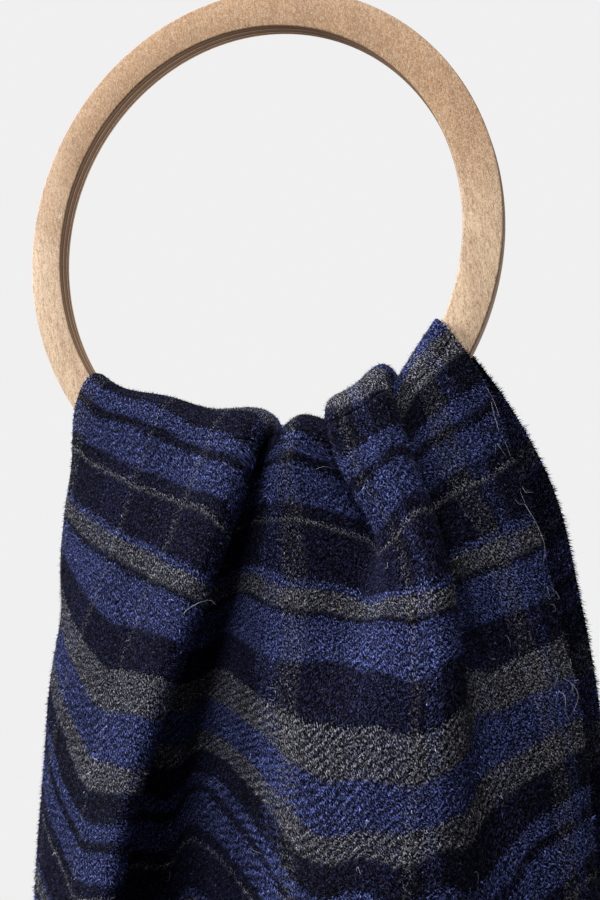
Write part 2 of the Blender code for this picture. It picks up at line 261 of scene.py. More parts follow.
def ring_mesh():
    half, ease = RING_THICKNESS / 2, RING_EASING
    centres = (
        # radius and y of each rounded corner's centre, and the angles where it starts and ends
        (RING_INNER_RADIUS + ease, -half + ease, 180, 270),
        (RING_OUTER_RADIUS - ease, -half + ease, 270, 360),
        (RING_OUTER_RADIUS - ease, half - ease, 0, 90),
        (RING_INNER_RADIUS + ease, half - ease, 90, 180),
    )
    build = bmesh.new()
    corners = []
    for radius, y, start, end in centres:
        for step in range(ARRIS_STEPS + 1):
            angle = math.radians(start + (end - start) * step / ARRIS_STEPS)
            point = (radius + ease * math.cos(angle), y + ease * math.sin(angle), 0.0)
            corners.append(build.verts.new(point))
    edges = [build.edges.new((a, b)) for a, b in zip(corners, corners[1:] + corners[:1])]
    bmesh.ops.spin(
        build, geom=corners + edges, cent=(0.0, 0.0, 0.0), axis=(0.0, 1.0, 0.0),
        dvec=(0.0, 0.0, 0.0), angle=2 * math.pi, steps=RING_STEPS, use_merge=True,
    )
    bmesh.ops.remove_doubles(build, verts=build.verts, dist=1e-6)
    bmesh.ops.recalc_face_normals(build, faces=build.faces)
    bmesh.ops.translate(build, verts=build.verts, vec=(0.0, 0.0, -RING_INNER_RADIUS))
    mesh = bpy.data.meshes.new("ring")
    build.to_mesh(mesh)
    build.free()
    mesh.shade_smooth()
    mesh.set_sharp_from_angle(angle=ARRIS_SHARPNESS)
    return mesh


def veneer_colour(tree, place, grain):
    """The face: browner above, marked along the grain, with painted glints, and scuffed."""
    height = wire(tree, "ShaderNodeSeparateXYZ", {"Vector": place}).outputs["Z"]
    cloud = speckle(tree, place, 30.0, detail=3.0, roughness=0.55)
    brown = sum_of(tree, "MULTIPLY_ADD", cloud, 0.09, sum_of(tree, "ADD", height, -0.045))
    face = mixed(tree, share(tree, brown, BROWN_FROM, BROWN_TO), FACE_LIGHT, FACE_TAN)
    for name, start, full, strength, colour in VENEER_MARKS:
        amount = sum_of(tree, "MULTIPLY", share(tree, grain[name], start, full), strength)
        face = mixed(tree, amount, face, colour)
    inputs = {0: place, 1: SCUFF_AT}
    away = wire(tree, "ShaderNodeVectorMath", inputs, operation="DISTANCE").outputs["Value"]
    away = sum_of(tree, "MULTIPLY_ADD", grain["pores"], SCUFF_RAGGEDNESS, away)
    return mixed(tree, share(tree, away, *SCUFF_REACH), face, SCUFF_PALE)


def ply_colour(tree, place):
    """The cut edge: the plies, counted through the thickness from the front face."""
    through = wire(tree, "ShaderNodeSeparateXYZ", {"Vector": place}).outputs["Y"]
    wander = speckle(tree, place, 35.0, detail=1.0)
    depth = sum_of(tree, "MULTIPLY_ADD", wander, PLY_WANDER, through)
    front, back = (side * RING_THICKNESS / 2 + PLY_WANDER / 2 for side in (-1, 1))
    inputs = {"Value": depth, "From Min": front, "From Max": back}
    layers = wire(tree, "ShaderNodeMapRange", inputs).outputs[0]
    ramp = wire(tree, "ShaderNodeValToRGB", {"Fac": layers})
    ramp.color_ramp.interpolation = "EASE"
    marks = ramp.color_ramp.elements
    marks[0].position, marks[0].color = PLIES[0][0], (*PLIES[0][1], 1.0)
    marks[1].position, marks[1].color = PLIES[-1][0], (*PLIES[-1][1], 1.0)
    for position, colour in PLIES[1:-1]:
        marks.new(position).color = (*colour, 1.0)
    fleck = share(tree, speckle(tree, place, 900.0, detail=2.0), 0.35, 0.75)
    return mixed(tree, sum_of(tree, "MULTIPLY", fleck, 0.5), ramp.outputs[0], PORE_BROWN)


def plywood():
    paint, tree, shader = painted("birch_plywood")
    place = wire(tree, "ShaderNodeTexCoord").outputs["Object"]
    inputs = {"Vector": place, "Rotation": (0.0, GRAIN_LEAN, 0.0)}
    leaning = wire(tree, "ShaderNodeMapping", inputs).outputs[0]
    grain = {}
    for name, (across, along, *character) in VENEER_GRAIN.items():
        inputs = {"Vector": leaning, "Scale": (across, 60.0, along)}
        drawn = wire(tree, "ShaderNodeMapping", inputs).outputs[0]
        grain[name] = speckle(tree, drawn, 1.0, *character)
    facing_out = wire(tree, "ShaderNodeNewGeometry").outputs["Normal"]
    towards = wire(tree, "ShaderNodeSeparateXYZ", {"Vector": facing_out}).outputs["Y"]
    flat = share(tree, sum_of(tree, "ABSOLUTE", towards), 0.45, 0.85)
    colour = mixed(tree, flat, ply_colour(tree, place), veneer_colour(tree, place, grain))
    tree.links.new(colour, shader.inputs["Base Color"])
    rough = sum_of(tree, "MULTIPLY_ADD", flat, -0.40, 0.80)
    rough = sum_of(tree, "MULTIPLY_ADD", grain["streaks"], 0.20, rough)
    tree.links.new(rough, shader.inputs["Roughness"])
    relief = sum_of(tree, "MULTIPLY", grain["streaks"], -0.5)
    relief = sum_of(tree, "MULTIPLY_ADD", grain["pores"], -0.7, relief)
    bump = wire(tree, "ShaderNodeBump", {"Height": relief, "Strength": 0.5, "Distance": 0.0003})
    tree.links.new(bump.outputs[0], shader.inputs["Normal"])
    shader.inputs["Specular IOR Level"].default_value = 0.20
    return paint


def hang_ring():
    mesh = ring_mesh()
    mesh.materials.append(plywood())
    ring = placed("ring", mesh)
    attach(ring, "root")
    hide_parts("ring_hanger")


hang_ring()


# The scarf: one length of wool twill about 0.38 m wide and 1.9 m long, milled, brushed
# and cut straight. Bunched through the ring, it fans out below in a panel that laps over
# a deep fold, a broad middle fold with a pleat at its top, and a flatter right edge.
CLOTH_THICKNESS = 0.0020
CLOTH_WIDTH = 0.378

# Each row of the tables is a fold line, which runs along the cloth from one end to
# the other. The rows cross the scarf from its left edge to its right edge, as seen
# from the front. All their lengths are in millimetres, from the ring's centre.
#
# weft: distance across the flat cloth. top_x, top_below: where the line crosses over
# the ring. arch, square: height and squareness of the bend over the ring. reach: how
# far the cloth stands out there. spring_x: x where the bend ends. front_hem, back_hem:
# how far down the ends reach.
FOLDS = (
    # name       weft top_x top_below arch square reach spring_x front_hem back_hem
    ("edge_l",      0,   -89,   62.8,    9,  4.4,   8,    -94,    1008,   972),
    ("roll_l",     16,   -77,   70.0,   12,  2.6,  10,    -81,    1009,   974),
    ("panel_l",    52,   -45,   77.0,   16,  2.2,  14,    -48,    1011,   980),
    ("crest_l",    86,   -14,   84.5,   16,  2.2,  16,    -16,    1012,   984),
    ("lip_a",     114,    13,   88.0,   14,  2.2,  17,     13,    1010,   986),
    ("turn_a",    121,    15,   93.0,   11,  2.2,  14,     14,    1009,   986),
    ("under_a",   146,    -8,   98.5,    9,  2.4,  11,    -11,    1007,   985),
    ("floor_a",   163,    -2,  108.0,    5,  4.0,   8,     -5,    1008,   984),
    ("flank_a",   182,    21,   95.0,   10,  2.4,  10,     20,    1010,   985),
    ("centre",    204,    36,   89.0,   12,  2.2,  13,     37,    1014,   990),
    ("valley_b",  224,    54,   94.6,    8,  4.4,   8,     57,    1018,   994),
    ("pleat_l",   242,    47,   83.0,   12,  2.2,  16,     50,    1021,   997),
    ("pleat",     262,    60,   74.0,   14,  2.2,  18,     65,    1022,   999),
    ("lip_c",     280,    74,   65.5,   14,  2.2,  17,     79,    1020,   998),
    ("turn_c",    287,    76,   70.5,   12,  2.2,  14,     80,    1018,   996),
    ("under_c",   302,    64,   79.0,   10,  2.4,  11,     68,    1013,   992),
    ("valley_c",  315,    72,   81.5,    7,  4.4,   8,     75,    1008,   988),
    ("rise_r",    329,    82,   69.5,   10,  2.6,  10,     86,    1003,   984),
    ("panel_r",   347,    89,   58.5,   12,  2.4,  11,     96,     996,   978),
    ("edge_r",    378,    99,   44.4,    9,  4.4,   8,    107,     984,   968),
)

# Depths below the ring's centre at which the next tables give the front's folds.
# The last column of each row is the fold's place at the hem.
FRONT_LEVELS = (115, 140, 180, 225, 270, 320, 450, 700)
FRONT_X = {
    #            115   140   180   225   270   320   450   700   hem
    "edge_l":   (-99, -103, -106,  -98,  -93,  -90,  -92, -108, -128),
    "roll_l":   (-87,  -90,  -96, -105, -107, -110, -112, -120, -116),
    "panel_l":  (-53,  -56,  -62,  -70,  -75,  -79,  -84,  -92,  -86),
    "crest_l":  (-20,  -25,  -34,  -44,  -52,  -60,  -66,  -66,  -54),
    "lip_a":    (11,     4,   -9,  -23,  -35,  -44,  -48,  -40,  -26),
    "turn_a":   (11,     4,   -9,  -24,  -37,  -46,  -48,  -36,  -18),
    "under_a":  (-17,  -20,  -30,  -40,  -48,  -52,  -46,  -26,   -2),
    "floor_a":  (-6,   -11,  -19,  -30,  -37,  -40,  -30,  -10,   14),
    "flank_a":  (14,     9,    0,  -12,  -20,  -24,  -10,    8,   32),
    "centre":   (37,    38,   32,   24,   20,   18,   20,   32,   54),
    "valley_b": (62,    69,   64,   56,   52,   50,   46,   52,   74),
    "pleat_l":  (58,    73,   80,   76,   73,   72,   66,   70,   92),
    "pleat":    (73,    87,   96,   97,   95,   94,   88,   90,  110),
    "lip_c":    (92,   102,  111,  113,  113,  112,  110,  110,  128),
    "turn_c":   (92,   102,  112,  116,  117,  117,  116,  117,  135),
    "under_c":  (74,    87,  104,  118,  122,  124,  126,  130,  148),
    "valley_c": (82,    95,  110,  126,  131,  135,  140,  146,  163),
    "rise_r":   (93,   105,  119,  134,  139,  143,  150,  157,  173),
    "panel_r":  (108,  119,  131,  143,  149,  153,  162,  172,  186),
    "edge_r":   (136,  144,  153,  162,  166,  169,  178,  192,  200),
}
# How far each fold stands forward of the ring's middle plane.
FRONT_REACH = {
    #            115   140   180   225   270   320   450   700   hem
    "edge_l":   (9,     9,     7,    2,   -1,   -1,    0,    4,    8),
    "roll_l":   (12,    14,   17,   15,   14,   13,   14,   18,   22),
    "panel_l":  (18,    22,   29,   35,   40,   43,   42,   40,   38),
    "crest_l":  (23,    27,   35,   43,   49,   53,   53,   50,   42),
    "lip_a":    (26,    29,   35,   43,   49,   54,   53,   44,   28),
    "turn_a":   (20,    23,   29,   36,   42,   46,   45,   36,   24),
    "under_a":  (16,    18,   21,   25,   26,   25,   20,   16,   12),
    "floor_a":  (8,      8,    8,    8,    8,    8,    6,    6,    8),
    "flank_a":  (11,    12,   12,   13,   13,   12,   11,   14,   18),
    "centre":   (17,    20,   26,   31,   35,   37,   38,   38,   34),
    "valley_b": (9,     13,   22,   38,   47,   51,   51,   46,   37),
    "pleat_l":  (21,    23,   32,   43,   51,   56,   55,   48,   38),
    "pleat":    (26,    29,   37,   45,   52,   56,   55,   47,   35),
    "lip_c":    (25,    29,   35,   41,   47,   50,   48,   40,   26),
    "turn_c":   (19,    22,   28,   35,   42,   45,   43,   35,   22),
    "under_c":  (15,    16,   18,   24,   30,   33,   32,   26,   14),
    "valley_c": (8,      8,   11,   17,   22,   25,   24,   18,    8),
    "rise_r":   (12,    13,   16,   20,   22,   24,   23,   17,    9),
    "panel_r":  (14,    15,   18,   20,   21,   22,   21,   18,   14),
    "edge_r":   (8,      8,    8,    8,    8,    8,    8,   10,   16),
}

# The back's folds, at fewer depths.
BACK_LEVELS = (115, 180, 270, 450)
BACK_X = {
    #            115   180   270   450   hem
    "edge_l":   (-97, -104, -110, -116, -132),
    "roll_l":   (-84,  -91,  -98, -106, -118),
    "panel_l":  (-52,  -58,  -66,  -74,  -84),
    "crest_l":  (-18,  -26,  -36,  -42,  -48),
    "lip_a":    (20,     6,   -6,  -12,  -16),
    "turn_a":   (21,     7,   -5,   -9,   -8),
    "under_a":  (-10,  -16,  -18,   -8,    4),
    "floor_a":  (-5,    -7,   -8,    6,   20),
    "flank_a":  (21,    14,   12,   22,   37),
    "centre":   (40,    36,   34,   42,   58),
    "valley_b": (58,    60,   56,   62,   82),
    "pleat_l":  (57,    68,   74,   82,  100),
    "pleat":    (72,    86,   94,  100,  116),
    "lip_c":    (90,   100,  108,  114,  131),
    "turn_c":   (90,   101,  112,  120,  137),
    "under_c":  (76,    92,  114,  128,  147),
    "valley_c": (86,   102,  124,  138,  159),
    "rise_r":   (98,   115,  136,  150,  169),
    "panel_r":  (115,  133,  150,  163,  181),
    "edge_r":   (146,  162,  174,  184,  198),
}
BACK_REACH = {
    #            115   180   270   450   hem
    "edge_l":   (9,     11,   14,   14,   10),
    "roll_l":   (12,    18,   24,   24,   18),
    "panel_l":  (18,    28,   38,   38,   30),
    "crest_l":  (22,    32,   42,   42,   34),
    "lip_a":    (25,    34,   42,   42,   28),
    "turn_a":   (19,    28,   35,   35,   23),
    "under_a":  (16,    21,   24,   22,   16),
    "floor_a":  (8,     10,   11,   11,   10),
    "flank_a":  (11,    13,   16,   17,   16),
    "centre":   (17,    25,   34,   36,   31),
    "valley_b": (9,     12,   14,   17,   19),
    "pleat_l":  (20,    25,   28,   28,   26),
    "pleat":    (25,    31,   37,   37,   30),
    "lip_c":    (25,    30,   35,   35,   25),
    "turn_c":   (19,    24,   29,   28,   20),
    "under_c":  (15,    17,   20,   19,   14),
    "valley_c": (8,      9,   12,   12,   10),
    "rise_r":   (12,    15,   20,   20,   15),
    "panel_r":  (14,    19,   25,   24,   19),
    "edge_r":   (10,    14,   17,   16,   14),
}
FORMS = {
    # side, -1 in front of the ring and 1 behind it: depths, places across, and reach
    -1: (FRONT_LEVELS, FRONT_X, FRONT_REACH),
    1: (BACK_LEVELS, BACK_X, BACK_REACH),
}

# How far down the cloth, from the top of the bend, the next table gives the slip.
SLIP_LEVELS = (10, 30, 60, 90, 120, 155, 195, 235, 300)
# How far the weave has slipped down past each fold line when the cloth was bunched,
# in millimetres. It sets where the stripes cross the folds.
SLIP = {
    #             10   30   60   90  120  155  195  235  300
    "edge_l":   (9,  10,  10,  13,  27,  37,  42,  41,  30),
    "roll_l":   (7,   9,  10,  11,  23,  36,  42,  38,  28),
    "panel_l":  (3,   2,   1,   1,  -3,   1,  -1,   7,  16),
    "crest_l":  (-7,  -5,  -3,  -5,  -3,  -1,  -5,   1,   9),
    "lip_a":    (-13, -16, -15, -16, -12,  -4,  -5,   1,  11),
    "turn_a":   (-13, -13, -13, -12,  -7,   0,   2,   5,  13),
    "under_a":  (-4,  -2,   0,   4,   9,  16,  22,  25,  26),
    "floor_a":  (0,   4,   9,   9,  15,  24,  32,  37,  33),
    "flank_a":  (1,   1,   2,   5,  10,  18,  37,  38,  33),
    "centre":   (-2,  -3,  -3,  -6,  -5,   0,  15,  24,  24),
    "valley_b": (-7,  -6,  -6,  -5,   2,  -7,  -8,   1,   9),
    "pleat_l":  (-14, -20, -30, -32, -20, -20, -25, -16,  -5),
    "pleat":    (-23, -26, -30, -31, -31, -32, -33, -28, -16),
    "lip_c":    (-27, -28, -29, -29, -34, -26, -31, -26, -21),
    "turn_c":   (-28, -27, -26, -26, -25, -17, -20, -22, -21),
    "under_c":  (-29, -25, -19, -12,  -5,  -1,  -5, -15, -18),
    "valley_c": (-28, -24, -16,  -4,   2,   5,   5,  -5, -14),
    "rise_r":   (-27, -24, -18, -12,  -8,  -4,   0,  -2,  -9),
    "panel_r":  (-27, -24, -22, -19, -17, -11,  -5,  -3,  -5),
    "edge_r":   (-29, -28, -26, -24, -25, -20, -13,  -9,  -3),
}

# How much the warp leans across the folds, as a share of the way down the front. It
# turns about one place down the front, and leans no further from a little below it.
WARP_LEAN = (
    # weft, lean
    (0, -0.05), (50, -0.14), (86, -0.15), (114, 0.0), (163, 0.0), (190, 0.14),
    (204, 0.14), (262, 0.04), (320, 0.08), (347, 0.10), (378, 0.04),
)
LEAN_TURNS_AT = 80.0
LEAN_REACH = 120.0

# Soft creases pressed into the cloth by hand. weft and run place the two ends across
# and down the cloth; half is the crease's half width, and rise is positive for a ridge.
CREASES = (
    # side, weft, run, weft, run, half, rise
    (-1, 20, 30, 100, 52, 9, -1.0),
    (-1, 8, 95, 70, 150, 10, 1.1),
    (-1, 30, 190, 100, 178, 12, -1.3),
    (-1, 52, 236, 108, 268, 11, 1.2),
    (-1, 12, 300, 60, 420, 12, -1.6),
    (-1, 90, 330, 70, 520, 14, 1.5),
    (-1, 206, 20, 214, 70, 7, -1.2),
    (-1, 196, 120, 232, 172, 12, 1.4),
    (-1, 240, 118, 276, 150, 9, -1.0),
    (-1, 250, 190, 300, 236, 13, -1.5),
    (-1, 262, 290, 225, 420, 15, 1.8),
    (-1, 318, 60, 360, 44, 7, 0.9),
    (-1, 325, 130, 372, 168, 10, -1.1),
    (-1, 332, 250, 366, 330, 11, 1.3),
    (-1, 150, 520, 230, 640, 18, -1.9),
    (-1, 40, 610, 110, 720, 16, 1.7),
    (-1, 290, 560, 350, 700, 17, -1.8),
    (-1, 205, 770, 250, 900, 16, 1.6),
    (1, 24, 60, 92, 96, 10, 1.2),
    (1, 60, 170, 120, 230, 13, -1.5),
    (1, 196, 90, 238, 150, 10, 1.3),
    (1, 258, 70, 300, 118, 9, -1.1),
    (1, 322, 140, 368, 210, 12, 1.3),
    (1, 30, 330, 96, 470, 15, 1.7),
    (1, 180, 300, 250, 430, 16, -1.8),
    (1, 280, 360, 340, 520, 15, 1.6),
    (1, 70, 600, 150, 740, 18, -1.9),
    (1, 230, 640, 310, 780, 17, 1.6),
)

# Sizes of the cloth's faces, in millimetres, from the ring down to the hems.
COLUMN_WIDTH = 2.2
BEND_ROWS = 16
NECK_ROWS = 10
UPPER_ROW = {-1: 2.6, 1: 5.0}
LOWER_ROW = {-1: 5.6, 1: 7.5}
UPPER_DOWN_TO = 340.0
EDGE_ROUNDING = 0.0006


def smooth_curve(stations, values, wanted):
    """Smooth curve through values at stations, read at the wanted stations."""
    gaps = np.diff(stations)
    slopes = np.diff(values) / gaps
    tangents = np.empty(len(values))
    tangents[0] = slopes[0]
    tangents[-1] = slopes[-1]
    tangents[1:-1] = (slopes[:-1] * gaps[1:] + slopes[1:] * gaps[:-1]) / (gaps[:-1] + gaps[1:])
    i = np.clip(np.searchsorted(stations, wanted, side="right") - 1, 0, len(gaps) - 1)
    t = (wanted - stations[i]) / gaps[i]
    start = (1 + 2 * t) * (1 - t) ** 2 * values[i]
    end = t * t * (3 - 2 * t) * values[i + 1]
    leave = t * (1 - t) ** 2 * gaps[i] * tangents[i]
    arrive = t * t * (t - 1) * gaps[i] * tangents[i + 1]
    return start + end + leave + arrive


def weft_blend(knots, wanted):
    """Weights that turn points on the fold lines into a natural spline across them."""
    count = len(knots)
    gaps = np.diff(knots)
    system = np.eye(count)
    bends = np.zeros((count, count))
    for k in range(1, count - 1):
        system[k, k - 1] = gaps[k - 1]
        system[k, k] = 2 * (gaps[k - 1] + gaps[k])
        system[k, k + 1] = gaps[k]
        bends[k, k - 1] = 6 / gaps[k - 1]
        bends[k, k] = -6 / gaps[k - 1] - 6 / gaps[k]
        bends[k, k + 1] = 6 / gaps[k]
    curvature = np.linalg.solve(system, bends)
    weights = np.zeros((len(wanted), count))
    for row, u in enumerate(wanted):
        i = int(np.clip(np.searchsorted(knots, u, side="right") - 1, 0, count - 2))
        before = (knots[i + 1] - u) / gaps[i]
        after = (u - knots[i]) / gaps[i]
        weights[row, i] += before
        weights[row, i + 1] += after
        weights[row] += (before ** 3 - before) * gaps[i] ** 2 / 6 * curvature[i]
        weights[row] += (after ** 3 - after) * gaps[i] ** 2 / 6 * curvature[i + 1]
    return weights


def weft_stations():
    """Distances across the cloth of its lines of points, evenly spaced between folds."""
    stations = [np.zeros(1)]
    for fold, following in zip(FOLDS, FOLDS[1:]):
        width = following[1] - fold[1]
        steps = max(2, round(width / COLUMN_WIDTH))
        stations.append(fold[1] + width * np.arange(1, steps + 1) / steps)
    return np.concatenate(stations)


def fold_line(fold, side, rows):
    """Points of one fold line on one side of the ring, at the given rows."""
    name, _, top_x, top_below, arch, square, reach, spring_x, front_hem, back_hem = fold
    hem = front_hem if side < 0 else back_hem
    levels, x_table, reach_table = FORMS[side]
    spring = top_below + arch
    stations = np.array((top_below, spring) + levels + (hem,), dtype=float)
    across = np.array((top_x, spring_x) + x_table[name], dtype=float)
    first = reach + (reach_table[name][0] - reach) * arch / (levels[0] - top_below)
    outward = np.array((reach, first) + reach_table[name], dtype=float)
    angle, neck, upper, lower = rows
    below = np.concatenate((
        top_below + arch * (1 - np.cos(angle)),
        spring + (levels[0] - spring) * neck,
        levels[0] + (UPPER_DOWN_TO - levels[0]) * upper,
        UPPER_DOWN_TO + (hem - UPPER_DOWN_TO) * lower,
    ))
    spread = np.ones(len(below))
    spread[:len(angle)] = np.sin(angle) ** (2 / square)
    x = smooth_curve(stations, across, below)
    y = side * spread * smooth_curve(stations, outward, below)
    return np.stack((x, y, -below), axis=1)


def row_shares(side):
    """Where the rows lie: angles round the bend, then shares of the three runs below."""
    first_level, first_hem = FORMS[side][0][0], FOLDS[0][-2]
    upper = round((UPPER_DOWN_TO - first_level) / UPPER_ROW[side])
    lower = round((first_hem - UPPER_DOWN_TO) / LOWER_ROW[side])
    return (
        math.pi / 2 * np.arange(BEND_ROWS + 1) / BEND_ROWS,
        np.arange(1, NECK_ROWS + 1) / NECK_ROWS,
        np.arange(1, upper + 1) / upper,
        np.arange(1, lower + 1) / lower,
    )


def run_down(points):
    """Length along the cloth from the top of the bend to each row."""
    steps = np.linalg.norm(np.diff(points, axis=0), axis=2)
    return np.concatenate((np.zeros((1, points.shape[1])), np.cumsum(steps, axis=0)))


def slip_down(run, blend):
    """How far the weave has slipped at each point, from the slip table."""
    by_column = blend @ np.array([SLIP[fold[0]] for fold in FOLDS], dtype=float)
    slip = np.empty_like(run)
    for column in range(run.shape[1]):
        slip[:, column] = np.interp(run[:, column], SLIP_LEVELS, by_column[column])
    return slip


def crease_rise(side, weft, run):
    """How far the creases move each point of one side of the cloth."""
    rise = np.zeros_like(run)
    for crease_side, weft_a, run_a, weft_b, run_b, half, height in CREASES:
        if crease_side != side:
            continue
        along = np.array((weft_b - weft_a, run_b - run_a), dtype=float)
        length = np.hypot(*along)
        along /= length
        from_weft, from_run = weft - weft_a, run - run_a
        reached = (from_weft * along[0] + from_run * along[1]) / length
        aside = from_weft * along[1] - from_run * along[0]
        fade = np.clip(1 - np.abs(2 * reached - 1) ** 3, 0, 1)
        rise += height * fade * np.exp(-(aside / half) ** 2)
    return rise


def facing(grid):
    """Directions square to the cloth at every point of the grid."""
    normals = np.cross(np.gradient(grid, axis=1), np.gradient(grid, axis=0))
    return normals / np.linalg.norm(normals, axis=2)[:, :, None]


def lay_scarf():
    """The cloth's middle surface, its normals, its weave's own coordinates, and its top row."""
    stations = weft_stations()
    blend = weft_blend([float(fold[1]) for fold in FOLDS], stations)
    lean = np.interp(stations, *np.transpose(WARP_LEAN))
    halves = []
    for side in (-1, 1):
        shares = row_shares(side)
        lines = np.stack([fold_line(fold, side, shares) for fold in FOLDS], axis=1)
        points = np.einsum("uk,rkc->ruc", blend, lines)
        run = run_down(points)
        if side < 0:
            woven = run + slip_down(run, blend)
        else:
            woven = slip_down(np.zeros_like(run), blend) - run
        weft = np.broadcast_to(stations, run.shape)
        warp = weft + lean * np.clip(side * run + LEAN_TURNS_AT, -LEAN_REACH, LEAN_TURNS_AT)
        halves.append((points, woven, warp, crease_rise(side, weft, run)))
    # The front runs up to the top of the bend, and the back down from there.
    grid, woven, warp, rise = (
        np.concatenate((front[::-1], back[1:])) * MM for front, back in zip(*halves)
    )
    grid = grid + facing(grid) * rise[:, :, None]
    grid[:, :, 2] -= RING_INNER_RADIUS
    across = np.linalg.norm(np.diff(grid, axis=1), axis=2)
    weft = np.concatenate((np.zeros((len(grid), 1)), np.cumsum(across, axis=1)), axis=1)
    weft *= CLOTH_WIDTH / weft[:, -1:]
    return grid, facing(grid), np.stack((weft, woven, warp), axis=2), len(halves[0][0]) - 1


def keep_weave(mesh, weave, inner):
    """Keep each point's place in the weave, also as a map of the face, and its side of the cloth."""
    weave = weave.reshape(-1, 3).astype(np.float32)
    place = mesh.attributes.new("woven_at", "FLOAT_VECTOR", "POINT")
    place.data.foreach_set("vector", weave.ravel())
    side = mesh.attributes.new("inner_side", "FLOAT", "POINT")
    side.data.foreach_set("value", np.asarray(inner, dtype=np.float32).ravel())
    corner = np.empty(len(mesh.loops), dtype=np.int32)
    mesh.loops.foreach_get("vertex_index", corner)
    layer = mesh.uv_layers.new(name="weave")
    layer.data.foreach_set("uv", weave[corner, :2].ravel())


def edge_tip(edge, beside):
    """The rounded edge's outermost points, a little past the cloth's last line of points."""
    outward = edge - beside
    return edge + outward / np.linalg.norm(outward, axis=2)[:, :, None] * EDGE_ROUNDING


def stretch_of_scarf(name, first, last):
    """A closed wall of the cloth from row first to row last, its long edges rounded."""
    stretch = slice(first, last + 1)
    middle, normal, woven = scarf_middle[stretch], scarf_normal[stretch], scarf_weave[stretch]
    half = normal * CLOTH_THICKNESS / 2
    left = edge_tip(middle[:, :1], middle[:, 1:2])
    right = edge_tip(middle[:, -1:], middle[:, -2:-1])
    # Each row is a closed loop: outer face left to right, right edge, inner face back, left edge.
    loops = np.concatenate((middle + half, right, (middle - half)[:, ::-1], left), axis=1)
    weave = np.concatenate((woven, woven[:, -1:], woven[:, ::-1], woven[:, :1]), axis=1)
    rows, around = loops.shape[:2]
    across = middle.shape[1]
    index = np.arange(rows * around).reshape(rows, around)
    here, up = index[:-1], index[1:]
    faces = np.stack((here, np.roll(here, -1, axis=1), np.roll(up, -1, axis=1), up), axis=2)
    faces = faces.reshape(-1, 4).tolist()
    for row, turned in ((0, True), (rows - 1, False)):
        outer, inner = index[row, :across], index[row, across + 1:2 * across + 1][::-1]
        for a, b, c, d in zip(outer, outer[1:], inner[1:], inner):
            faces.append([a, d, c, b] if turned else [a, b, c, d])
        for tip, a, b in ((index[row, across], inner[-1], outer[-1]), (index[row, -1], outer[0], inner[0])):
            faces.append([tip, b, a] if turned else [tip, a, b])
    mesh = bpy.data.meshes.new(name)
    mesh.from_pydata(loops.reshape(-1, 3).tolist(), [], faces)
    mesh.update()
    # The inner face is marked, so the wool paints shade on it.
    inner = np.zeros((rows, around))
    inner[:, across + 1:2 * across + 1] = 1.0
    keep_weave(mesh, weave, inner)
    mesh.shade_smooth()
    return placed(name, mesh)


scarf_middle, scarf_normal, scarf_weave, top_row = lay_scarf()
front_seam, back_seam = top_row - BEND_ROWS, top_row + BEND_ROWS
scarf_front = stretch_of_scarf("scarf_front", 0, front_seam)
scarf_bend = stretch_of_scarf("scarf_bend", front_seam, back_seam)
scarf_back = stretch_of_scarf("scarf_back", back_seam, len(scarf_middle) - 1)


# The weave. The weft carries broad stripes that repeat every 0.2 m down the scarf, and
# the warp carries fainter ones across it. The two show in turn along the twill's slant
# ribs, and milling and brushing have blurred them into a mottled, hairy face.
REPEAT = 198.6
BLUE = (0.037, 0.048, 0.138)
NAVY = (0.0038, 0.0037, 0.0128)
INK = (0.0026, 0.0026, 0.0070)
STONE = (0.084, 0.083, 0.093)
DUSK = (0.013, 0.015, 0.050)
LINT = (0.230, 0.235, 0.330)
STRAY_BLUE = (0.050, 0.066, 0.175)
WEFT_STRIPES = (
    # colour, width in millimetres, from the start of the repeat down
    (INK, 17.0), (BLUE, 9.1), (INK, 5.0), (BLUE, 17.6), (NAVY, 7.3), (STONE, 2.7),
    (NAVY, 23.1), (BLUE, 3.9), (STONE, 9.8), (INK, 3.1), (BLUE, 22.5), (NAVY, 21.7),
    (STONE, 19.4), (BLUE, 21.7), (STONE, 14.7),
)
WARP_STRIPES = (
    # colour, width in millimetres, from the left edge
    (STONE, 6.0), (NAVY, 24.0), (DUSK, 17.0), (STONE, 2.5), (NAVY, 34.0), (STONE, 2.5),
    (NAVY, 24.0), (BLUE, 30.0), (NAVY, 25.0), (DUSK, 20.0), (NAVY, 8.0), (BLUE, 7.0),
    (STONE, 7.0), (NAVY, 21.5), (DUSK, 28.0), (STONE, 3.5), (INK, 4.0), (BLUE, 5.0),
    (NAVY, 31.0), (DUSK, 20.0), (NAVY, 24.0), (STONE, 13.0), (BLUE, 8.5), (INK, 12.5),
)
# The twill's ribs, which the brushing hides except in patches and low on the front.
TWILL_PITCH = 5.0
TWILL_WANDER = 9.0
CLEAR_TWILL_AT = (240.0, 200.0, 0.0)
CLEAR_TWILL_REACH = (55.0, 130.0)
TWILL_UNDER_NAP = 0.25
# Sizes are in millimetres. Shares run from 0, none, to 1, all.
FIBRE_SIZE = (1.6, 0.58)
FINE_FIBRE_SIZE = (1.0, 0.48)
STRAY_FIBRE_SIZE = (2.2, 0.52)
STRIPE_DRIFT = 5.0
FIBRE_REACH = 11.0
WARP_SHOWS = 0.78
# How far the inner face is mixed towards navy: painted shade for the front fall's shadow.
INNER_PAINTED_SHADE = 0.72
STRAY_BLUE_SHARE = 0.38
STRAY_LINT_SHARE = 0.22
HEATHER_CONTRAST = 1.8
HEATHER_LIGHT = 5.0
HEATHER_DARK = 0.03


def node_group(name, kind, inputs, outputs):
    """A node group with named sockets: its tree, what is given to it, and its output node."""
    tree = bpy.data.node_groups.new(name, kind)
    for in_out, sockets in (("INPUT", inputs), ("OUTPUT", outputs)):
        for label, sort in sockets:
            tree.interface.new_socket(label, in_out=in_out, socket_type="NodeSocket" + sort)
    return tree, tree.nodes.new("NodeGroupInput").outputs, tree.nodes.new("NodeGroupOutput")


